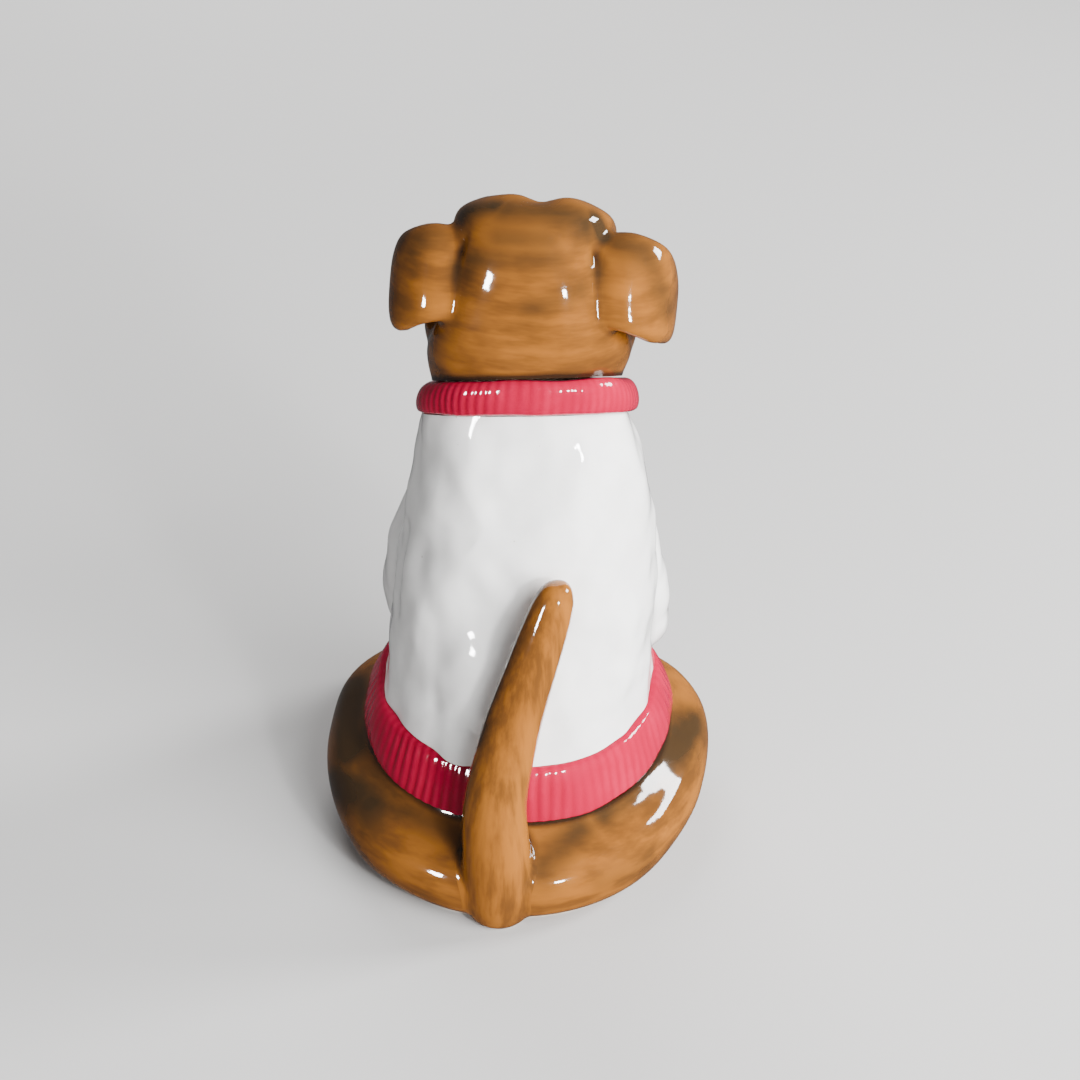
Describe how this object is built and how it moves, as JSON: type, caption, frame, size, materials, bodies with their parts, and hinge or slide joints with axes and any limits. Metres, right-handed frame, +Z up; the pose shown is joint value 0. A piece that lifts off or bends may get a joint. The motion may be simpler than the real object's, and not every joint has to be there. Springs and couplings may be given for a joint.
{
  "type": "coin bank",
  "caption": "Hollow ceramic coin bank shaped as a sitting dog in a knitted sweater, with a coin slot in the head and a rubber stopper in the recessed base.",
  "frame": {"origin": "centre of the overall box, on the flat surface that the bank stands on", "axes": "+Z is up, the dog faces -Y, +X is the dog's left-hand side"},
  "size_m": [0.124, 0.15, 0.2046],
  "materials": {
    "brown_glaze": "gloss",
    "white_glaze": "gloss",
    "red_glaze": "gloss",
    "black_glaze": "gloss",
    "rubber": "matte"
  },
  "bodies": {
    "figure": {"collar_band": "red_glaze", "cuff_left": "red_glaze", "cuff_right": "red_glaze", "ear_left": "brown_glaze", "ear_right": "brown_glaze", "eye_left": "black_glaze", "eye_right": "black_glaze", "forepaw_left": "brown_glaze", "forepaw_right": "brown_glaze", "head": "brown_glaze", "hem_band": "red_glaze", "hind_foot_left": "brown_glaze", "hind_foot_right": "brown_glaze", "hips": "brown_glaze", "muzzle": "brown_glaze", "nose": "black_glaze", "sleeve_left": "white_glaze", "sleeve_right": "white_glaze", "tail": "brown_glaze", "torso": "white_glaze"},
    "stopper": {"stopper": "rubber"}
  },
  "joints": [
    {"name": "stopper_pull", "type": "slide", "parent": "figure", "child": "stopper", "axis": [0, 0, -1], "range_m": [0, 0.03]}
  ]
}
